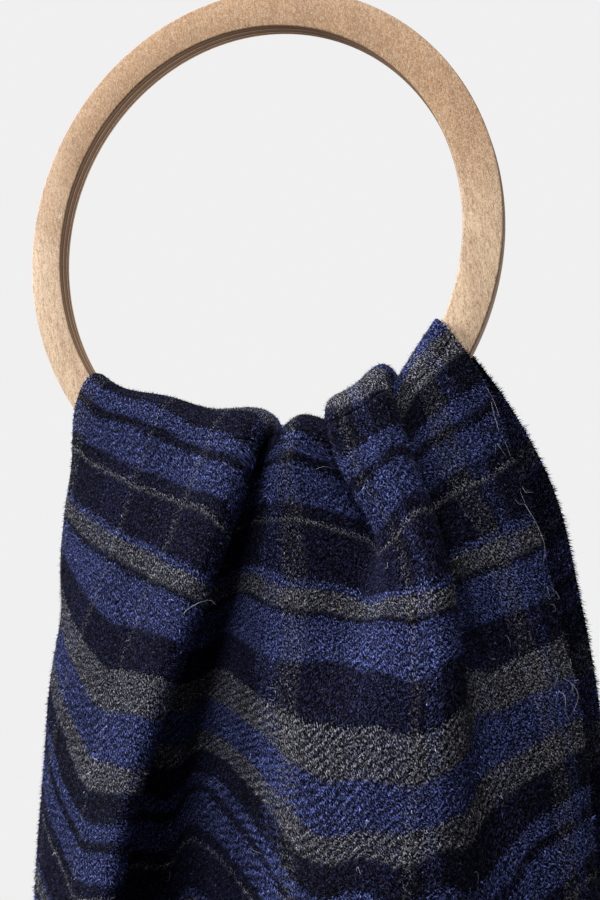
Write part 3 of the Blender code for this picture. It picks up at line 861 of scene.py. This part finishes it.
def striped(tree, value, stripes):
    """Colours in bands over 0 to 1, as wide as the table says."""
    ramp = wire(tree, "ShaderNodeValToRGB", {"Fac": value})
    ramp.color_ramp.interpolation = "CONSTANT"
    whole = sum(width for _, width in stripes)
    marks = ramp.color_ramp.elements
    start = 0.0
    for number, (colour, width) in enumerate(stripes):
        mark = marks[number] if number < 2 else marks.new(start / whole)
        mark.position = start / whole
        mark.color = (*colour, 1.0)
        start += width
    return ramp.outputs[0]


def vector_sum(tree, operation, first, second):
    """The result of one Vector Math node on two vectors."""
    return wire(tree, "ShaderNodeVectorMath", {0: first, 1: second}, operation=operation).outputs[0]


def fibres(tree, place, lean, size, detail=2.0):
    """Noise drawn out into short strokes that lean by an angle from the warp."""
    length, width = size
    inputs = {"Vector": place, "Angle": lean}
    turned = wire(tree, "ShaderNodeVectorRotate", inputs, rotation_type="Z_AXIS").outputs[0]
    drawn = vector_sum(tree, "MULTIPLY", turned, (1.0 / width, 1.0 / length, 1.0))
    return speckle(tree, drawn, 1.0, detail=detail, roughness=0.6, distortion=0.25)


def toned(tree, colour, tone):
    """The colour made lighter or darker by a factor."""
    grey = wire(tree, "ShaderNodeCombineColor", {0: tone, 1: tone, 2: tone}).outputs[0]
    return mixed(tree, 1.0, colour, grey, blend="MULTIPLY")


def twill_rib(tree, place, weft, run, drift):
    """The slant ribs, from -1 to 1, as far as the brushing lets them show."""
    slant = sum_of(tree, "MULTIPLY", sum_of(tree, "ADD", weft, run), 2 * math.pi / TWILL_PITCH)
    rib = sum_of(tree, "SINE", sum_of(tree, "MULTIPLY_ADD", drift, TWILL_WANDER, slant))
    inputs = {0: place, 1: CLEAR_TWILL_AT}
    away = wire(tree, "ShaderNodeVectorMath", inputs, operation="DISTANCE").outputs["Value"]
    clear = sum_of(tree, "SUBTRACT", 1.0, share(tree, away, *CLEAR_TWILL_REACH))
    patch = share(tree, speckle(tree, place, 0.018, detail=1.0), 0.50, 0.66)
    patch = sum_of(tree, "MULTIPLY", patch, 0.5)
    seen = sum_of(tree, "MAXIMUM", clear, patch)
    seen = sum_of(tree, "MULTIPLY_ADD", seen, 1.0 - TWILL_UNDER_NAP, TWILL_UNDER_NAP)
    return sum_of(tree, "MULTIPLY", rib, seen)


def check_group():
    """Group: the weave's place and side in, its colour and height out.

    The place is metres across the cloth, down the cloth, and across its warp stripes.
    The inner side is mixed towards navy as painted shade, for the front fall's shadow on it.
    """
    tree, given, out = node_group(
        "wool_check", "ShaderNodeTree",
        (("Weave", "Vector"), ("Inner", "Float")), (("Colour", "Color"), ("Height", "Float")),
    )
    inputs = {0: given["Weave"], "Scale": 1.0 / MM}
    place = wire(tree, "ShaderNodeVectorMath", inputs, operation="SCALE").outputs[0]
    apart = wire(tree, "ShaderNodeSeparateXYZ", {"Vector": place})
    weft, run, warp = apart.outputs["X"], apart.outputs["Y"], apart.outputs["Z"]
    place = wire(tree, "ShaderNodeCombineXYZ", {"X": weft, "Y": run}).outputs[0]

    # Two sets of strokes cross the twill, one leaning each way, with finer ones among them.
    left = fibres(tree, place, 0.70, FIBRE_SIZE)
    right = fibres(tree, place, -0.60, FIBRE_SIZE)
    fine = fibres(tree, place, 0.25, FINE_FIBRE_SIZE)
    tangled = sum_of(tree, "SUBTRACT", sum_of(tree, "ADD", left, fine), 1.0)
    drift = sum_of(tree, "SUBTRACT", speckle(tree, place, 0.05, detail=2.0), 0.5)
    rib = twill_rib(tree, place, weft, run, drift)

    # Each fibre belongs to a stripe a little above or below its own place.
    def strayed(value):
        drifted = sum_of(tree, "MULTIPLY_ADD", drift, STRIPE_DRIFT, value)
        return sum_of(tree, "MULTIPLY_ADD", tangled, FIBRE_REACH, drifted)

    run_moved = sum_of(tree, "MULTIPLY_ADD", rib, 0.35, strayed(run))
    turn = sum_of(tree, "FRACT", sum_of(tree, "DIVIDE", run_moved, REPEAT))
    across = sum_of(tree, "DIVIDE", strayed(warp), CLOTH_WIDTH / MM)
    over = sum_of(tree, "MULTIPLY_ADD", rib, 0.085, right)
    over = sum_of(tree, "MULTIPLY", share(tree, over, 0.49, 0.57), WARP_SHOWS)
    colour = mixed(tree, over, striped(tree, turn, WEFT_STRIPES), striped(tree, across, WARP_STRIPES))
    # Painted shade: the inner face is mixed towards navy, for the shadow the front fall casts on it.
    colour = mixed(tree, sum_of(tree, "MULTIPLY", given["Inner"], INNER_PAINTED_SHADE), colour, NAVY)

    # Heathered yarn: dark and light fibres lie side by side in every stripe.
    # They catch the light in very different amounts, and stray ones lie over all.
    light = sum_of(tree, "MULTIPLY_ADD", rib, -0.028, sum_of(tree, "ADD", left, fine))
    light = sum_of(tree, "POWER", share(tree, light, 0.93, 1.21), HEATHER_CONTRAST)
    colour = toned(tree, colour, sum_of(tree, "MULTIPLY_ADD", light, HEATHER_LIGHT, HEATHER_DARK))
    blue = share(tree, fibres(tree, place, 0.35, STRAY_FIBRE_SIZE, detail=1.0), 0.60, 0.66)
    colour = mixed(tree, sum_of(tree, "MULTIPLY", blue, STRAY_BLUE_SHARE), colour, STRAY_BLUE)
    pale = share(tree, fibres(tree, place, -0.95, STRAY_FIBRE_SIZE, detail=1.0), 0.62, 0.69)
    colour = mixed(tree, sum_of(tree, "MULTIPLY", pale, STRAY_LINT_SHARE), colour, LINT)
    height = sum_of(tree, "ADD", left, sum_of(tree, "MULTIPLY_ADD", rib, 0.10, right))
    height = sum_of(tree, "MULTIPLY_ADD", fine, 0.6, height)
    tree.links.new(colour, out.inputs["Colour"])
    tree.links.new(height, out.inputs["Height"])
    return tree


def point_value(tree, name, output="Fac"):
    """What each point of the mesh keeps under a name."""
    return wire(tree, "ShaderNodeAttribute", attribute_name=name).outputs[output]


def wool_paint(name, loose):
    """Wool for the cloth itself, or for its loose fibres, some of which are paler."""
    paint, tree, shader = painted(name)
    inputs = {"Weave": point_value(tree, "woven_at", "Vector"), "Inner": point_value(tree, "inner_side")}
    check = wire(tree, "ShaderNodeGroup", inputs, node_tree=wool_check)
    colour = check.outputs["Colour"]
    if loose:
        tone = point_value(tree, "tone")
        colour = toned(tree, colour, sum_of(tree, "MULTIPLY_ADD", tone, 2.2, 0.30))
        pale = sum_of(tree, "MULTIPLY", share(tree, tone, 0.70, 1.0), 0.12)
        colour = mixed(tree, pale, colour, LINT)
    else:
        inputs = {"Height": check.outputs["Height"], "Strength": 0.8, "Distance": 0.0009}
        bump = wire(tree, "ShaderNodeBump", inputs)
        tree.links.new(bump.outputs[0], shader.inputs["Normal"])
    tree.links.new(colour, shader.inputs["Base Color"])
    shader.inputs["Roughness"].default_value = 0.95
    shader.inputs["Specular IOR Level"].default_value = 0.05
    shader.inputs["Sheen Weight"].default_value = 0.03
    shader.inputs["Sheen Roughness"].default_value = 0.45
    shader.inputs["Sheen Tint"].default_value = (0.55, 0.60, 0.85, 1.0)
    return paint


wool_check = check_group()
cloth_wool = wool_paint("brushed_wool", False)
SHEETS = (
    # cloth, solid it stands for, its own length, what carries it
    (scarf_front, "scarf_front_fall", 0.925, "scarf_bend"),
    (scarf_bend, "scarf_over_ring", 0.050, "ring"),
    (scarf_back, "scarf_back_fall", 0.895, "scarf_bend"),
)
for cloth, solid, length, carrier in SHEETS:
    cloth.data.materials.append(cloth_wool)
    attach(cloth, "root")
    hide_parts(solid)


# The nap: the brushed wool's loose fibres, which stand a millimetre or two off the
# cloth and lean down it. Each is one thin three-cornered blade that takes the weave's
# colour where it is rooted, and some are paler. The cut edges are frayed the same way.
NAPS = (
    # name, solid, start and end down the scarf, face, weft where it starts,
    # fibres per square metre, length, width, lift, seed
    ("nap_high", "scarf_front_fall", 10, 175, "outer", 0, 1.3e6, 1.6, 0.30, 0.45, 3),
    ("nap_middle", "scarf_front_fall", 175, 345, "outer", 0, 1.3e6, 1.6, 0.30, 0.45, 5),
    ("nap_low", "scarf_front_fall", 345, 2000, "outer", 0, 0.38e6, 3.4, 0.40, 0.55, 7),
    ("nap_bend", "scarf_over_ring", 10, -10, "outer", 0, 1.5e6, 1.4, 0.26, 0.45, 11),
    ("nap_back", "scarf_back_fall", -10, -2000, "outer", 0, 0.34e6, 3.4, 0.40, 0.55, 13),
    ("nap_inside", "scarf_back_fall", -10, -360, "inner", 300, 1.3e6, 1.6, 0.28, 0.45, 17),
    ("fray_front_l", "scarf_front_fall", 10, 2000, "left", 0, 4.6e6, 1.5, 0.40, 1.5, 19),
    ("fray_front_r", "scarf_front_fall", 10, 2000, "right", 0, 4.6e6, 2.0, 0.40, 1.5, 23),
    ("fray_back_l", "scarf_back_fall", -10, -2000, "left", 0, 4.6e6, 2.0, 0.42, 1.5, 29),
    ("fray_back_r", "scarf_back_fall", -10, -2000, "right", 0, 4.6e6, 2.0, 0.42, 1.5, 31),
)
NAP_SCATTER = 0.75
NAP_DROOP = 0.45
PALE_RARITY = 2.2
LENGTH_SPREAD = (0.45, 1.35)
TUFT_SIZE = 0.0018
TUFT_GAIN = 2.4


def nap_group():
    """Group: scatters leaning blades over a face, each keeping its root's place in the weave."""
    tree, given, out = node_group(
        "nap", "GeometryNodeTree",
        (("Cloth", "Geometry"), ("Density", "Float"), ("Length", "Float"), ("Width", "Float"),
         ("Lift", "Float"), ("Seed", "Int"), ("Wool", "Material")),
        (("Nap", "Geometry"),),
    )

    def random(low, high, salt):
        seed = sum_of(tree, "ADD", given["Seed"], float(salt))
        inputs = {"Seed": seed, 2: low, 3: high}
        return wire(tree, "FunctionNodeRandomValue", inputs, data_type="FLOAT").outputs[1]

    def made(kind, inputs, **settings):
        return wire(tree, kind, inputs, **settings).outputs[0]

    roots = wire(tree, "GeometryNodeDistributePointsOnFaces", {
        "Mesh": given["Cloth"], "Density": given["Density"], "Seed": given["Seed"],
    }, distribute_method="RANDOM")
    points = made("GeometryNodeStoreNamedAttribute", {
        "Geometry": roots.outputs["Points"], "Name": "tone",
        "Value": sum_of(tree, "POWER", random(0.0, 1.0, 1), PALE_RARITY),
    }, data_type="FLOAT", domain="POINT")

    # Each blade leans off the cloth, down it, and a little to one side.
    inputs = {0: roots.outputs["Normal"], "Scale": given["Lift"]}
    lean = made("ShaderNodeVectorMath", inputs, operation="SCALE")
    aside = {axis: random(-NAP_SCATTER, NAP_SCATTER, salt) for axis, salt in (("X", 2), ("Y", 3), ("Z", 4))}
    lean = vector_sum(tree, "ADD", lean, made("ShaderNodeCombineXYZ", aside))
    lean = vector_sum(tree, "ADD", lean, (0.0, 0.0, -NAP_DROOP))
    turn = made("FunctionNodeAlignRotationToVector", {"Vector": lean}, axis="Y")
    inputs = {"Axis": (0.0, 1.0, 0.0), "Angle": random(0.0, math.pi, 5)}
    spin = made("FunctionNodeAxisAngleToRotation", inputs)
    turn = made("FunctionNodeRotateRotation", {0: turn, 1: spin}, rotation_space="LOCAL")

    # The blade: a triangle one unit long from its root, and one unit wide there.
    blade = made("GeometryNodeMeshCircle", {"Vertices": 3, "Radius": 1.0}, fill_type="NGON")
    number = made("GeometryNodeInputIndex", {})
    tip = made("FunctionNodeCompare", {2: number, 3: 0}, data_type="INT", operation="EQUAL")
    foot = made("ShaderNodeCombineXYZ", {"X": sum_of(tree, "SUBTRACT", number, 1.5)})
    inputs = {"Switch": tip, "False": foot, "True": (0.0, 1.0, 0.0)}
    corner = made("GeometryNodeSwitch", inputs, input_type="VECTOR")
    blade = made("GeometryNodeSetPosition", {"Geometry": blade, "Position": corner})

    # Neighbouring fibres are alike in length, so they gather into small tufts.
    tufts = speckle(tree, None, 1.0 / TUFT_SIZE, detail=1.0)
    long = sum_of(tree, "MULTIPLY", given["Length"], random(*LENGTH_SPREAD, 6))
    long = sum_of(tree, "MULTIPLY", long, sum_of(tree, "MULTIPLY_ADD", tufts, TUFT_GAIN, 1.0 - TUFT_GAIN / 2))
    size = made("ShaderNodeCombineXYZ", {"X": given["Width"], "Y": long, "Z": 1.0})
    nap = made("GeometryNodeInstanceOnPoints", {
        "Points": points, "Instance": blade, "Rotation": turn, "Scale": size,
    })
    nap = made("GeometryNodeRealizeInstances", {"Geometry": nap})
    nap = made("GeometryNodeRemoveAttribute", {"Geometry": nap, "Name": "weave"})
    nap = made("GeometryNodeSetMaterial", {"Geometry": nap, "Material": given["Wool"]})
    tree.links.new(nap, out.inputs["Nap"])
    return tree


def baked(piece, group, values):
    """The piece with a node group run on it, and the result kept as its plain mesh."""
    modifier = piece.modifiers.new("nodes", "NODES")
    modifier.node_group = group
    for socket in group.interface.items_tree:
        if socket.in_out == "INPUT" and socket.name in values:
            modifier[socket.identifier] = values[socket.name]
    bpy.context.view_layer.update()
    shaped = piece.evaluated_get(bpy.context.evaluated_depsgraph_get())
    mesh = bpy.data.meshes.new_from_object(shaped)
    piece.modifiers.clear()
    piece.data = mesh
    return piece


def row_at(down):
    """The row of the scarf so far down its front in millimetres, or down its back if less than 0."""
    steps = np.linalg.norm(np.diff(scarf_middle, axis=0), axis=2).mean(axis=1) / MM
    runs = np.concatenate(([0.0], np.cumsum(steps)))
    return int(np.argmin(np.abs(runs[top_row] - runs - down)))


def host_face(name, face, start, end, weft):
    """Part of one of the scarf's faces or cut edges, for fibres to stand on."""
    first, last = sorted((row_at(start), row_at(end)))
    middle = scarf_middle[first:last + 1]
    half = scarf_normal[first:last + 1] * (CLOTH_THICKNESS / 2)
    weave = scarf_weave[first:last + 1]
    if face in ("outer", "inner"):
        column = int(np.argmin(np.abs(weft_stations() - weft)))
        points = (middle + half if face == "outer" else middle - half)[:, column:]
        weave = weave[:, column:]
    else:
        column = 0 if face == "left" else -1
        points = np.stack((middle + half, middle - half), axis=2)[:, column]
        weave = np.stack((weave, weave), axis=2)[:, column]
    if face in ("inner", "left"):
        points, weave = points[:, ::-1], weave[:, ::-1]
    rows, across = points.shape[:2]
    index = np.arange(rows * across).reshape(rows, across)
    corners = (index[:-1, :-1], index[:-1, 1:], index[1:, 1:], index[1:, :-1])
    mesh = bpy.data.meshes.new(name)
    mesh.from_pydata(points.reshape(-1, 3).tolist(), [], np.stack(corners, axis=2).reshape(-1, 4).tolist())
    # Fibres on the inner face are marked inner, so they take its painted shade too.
    keep_weave(mesh, weave, np.full((rows, across), float(face == "inner")))
    return placed(name, mesh)


nap_nodes = nap_group()
nap_wool = wool_paint("loose_wool", True)
for name, solid, start, end, face, weft, density, length, width, lift, seed in NAPS:
    nap = baked(host_face(name, face, start, end, weft), nap_nodes, {
        "Density": density, "Length": length * MM, "Width": width * MM,
        "Lift": lift, "Seed": seed, "Wool": nap_wool,
    })
    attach(nap, "root")
    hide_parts(solid)


# Stray hairs: pale fibres pulled loose from the wool and caught on its face. A few long
# ones bridge a fold or curl beside the right edge, and short ones are strewn at random.
LONG_HAIR_RADIUS = 0.10
SHORT_HAIR_RADIUS = 0.06
HAIR_STEPS = 9
HAIR_TAPER = 0.25
HAIR_DARK = (0.20, 0.21, 0.26)
HAIR_PALE = (0.62, 0.62, 0.66)
LONG_HAIRS = (
    # points across the scarf, down its front and off its face, in millimetres
    ((105.0, 119.0, 0.6), (108.0, 112.5, 4.5), (112.0, 108.0, 7.5), (116.0, 110.0, 7.0)),
    ((371.5, 139.0, 0.8), (374.5, 143.0, 3.4), (376.0, 149.0, 3.6), (372.0, 156.0, 1.0)),
    ((364.0, 150.0, 0.8), (366.0, 146.5, 3.0), (368.5, 149.0, 3.4), (367.5, 153.5, 2.4), (370.0, 158.0, 1.0)),
    ((375.0, 62.0, 0.5), (377.0, 70.0, 2.5), (378.0, 80.0, 2.8), (375.5, 88.0, 0.8)),
    ((1.5, 96.0, 0.5), (0.3, 98.5, 1.0), (-2.0, 100.0, 2.6)),
)
SHORT_HAIRS = (
    # number, from and to across the scarf, from and to down its front
    (48, 6.0, 372.0, 16.0, 330.0),
    (18, 374.0, 378.0, 30.0, 150.0),
)
SHORT_HAIR_LENGTH = (2.5, 6.0)
SHORT_HAIR_BEND = (-2.2, 2.2)
SHORT_HAIR_LIFT = (0.9, 1.9)
HAIR_SEED = 41


def on_front(weft, down, off):
    """A point by its place across the front, down it, and off its face, in millimetres."""
    row = row_at(down)
    column = np.interp(weft, weft_stations(), np.arange(scarf_middle.shape[1]))
    left = min(int(column), scarf_middle.shape[1] - 2)
    part = column - left
    point = scarf_middle[row, left] * (1 - part) + scarf_middle[row, left + 1] * part
    normal = scarf_normal[row, left] * (1 - part) + scarf_normal[row, left + 1] * part
    step = scarf_middle[row, left + 1] - scarf_middle[row, left]
    beyond = min(weft, 0.0) + max(weft - CLOTH_WIDTH / MM, 0.0)
    return point + normal * (CLOTH_THICKNESS / 2 + off * MM) + step / np.linalg.norm(step) * beyond * MM


def strand(path, radius):
    """The corners and faces of a thin three-sided tube along a smooth line through points."""
    knots = np.arange(len(path))
    wanted = np.linspace(0.0, knots[-1], HAIR_STEPS)
    line = np.stack([smooth_curve(knots, values, wanted) for values in np.transpose(path)], axis=1)
    along = np.gradient(line, axis=0)
    along /= np.linalg.norm(along, axis=1)[:, None]
    side = np.cross(along, (0.31, 0.87, 0.38))
    side /= np.linalg.norm(side, axis=1)[:, None]
    rise = np.cross(along, side)
    swell = np.sin(np.linspace(HAIR_TAPER, math.pi - HAIR_TAPER, HAIR_STEPS)) ** 0.5
    thin = swell[:, None] * radius * MM
    turns = [2 * math.pi / 3 * corner for corner in range(3)]
    rings = [line + (side * math.cos(turn) + rise * math.sin(turn)) * thin for turn in turns]
    index = np.arange(HAIR_STEPS * 3).reshape(HAIR_STEPS, 3)
    nearer, further = index[:-1], index[1:]
    walls = np.stack((nearer, np.roll(nearer, -1, axis=1), np.roll(further, -1, axis=1), further), axis=2)
    faces = walls.reshape(-1, 4).tolist() + [index[0, ::-1].tolist(), index[-1].tolist()]
    return np.stack(rings, axis=1).reshape(-1, 3), faces


def short_hair(dice, across, down):
    """A short hair's points: it starts at a place on the front and bends one way."""
    length, turn = dice.uniform(*SHORT_HAIR_LENGTH), dice.uniform(0.0, 2 * math.pi)
    bend, lift = dice.uniform(*SHORT_HAIR_BEND), dice.uniform(*SHORT_HAIR_LIFT)
    points = []
    for part in (0.0, 0.35, 0.7, 1.0):
        angle = turn + bend * part
        off = 0.2 + lift * math.sin(math.pi * (0.15 + 0.7 * part))
        reached = length * part
        points.append((across + reached * math.cos(angle), down + reached * math.sin(angle), off))
    return points


def hairs():
    """Each hair's points and radius: the long ones as listed, then the short ones, at random."""
    dice = np.random.default_rng(HAIR_SEED)
    listed = [(points, LONG_HAIR_RADIUS) for points in LONG_HAIRS]
    for count, left, right, top, bottom in SHORT_HAIRS:
        for _ in range(count):
            across, down = dice.uniform(left, right), dice.uniform(top, bottom)
            listed.append((short_hair(dice, across, down), SHORT_HAIR_RADIUS))
    return listed


def strew_hairs():
    corners, faces = [], []
    for points, radius in hairs():
        tube, sides = strand([on_front(*point) for point in points], radius)
        first = len(corners)
        corners += tube.tolist()
        faces += [[first + corner for corner in face] for face in sides]
    mesh = bpy.data.meshes.new("stray_hairs")
    mesh.from_pydata(corners, [], faces)
    mesh.shade_smooth()
    paint, tree, shader = painted("stray_hair")
    place = wire(tree, "ShaderNodeTexCoord").outputs["Object"]
    mottle = share(tree, speckle(tree, place, 350.0, detail=2.0), 0.35, 0.65)
    tree.links.new(mixed(tree, mottle, HAIR_DARK, HAIR_PALE), shader.inputs["Base Color"])
    shader.inputs["Roughness"].default_value = 0.55
    shader.inputs["Sheen Weight"].default_value = 0.20
    mesh.materials.append(paint)
    strewn = placed("stray_hairs", mesh)
    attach(strewn, "root")
    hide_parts("scarf_front_fall")


strew_hairs()
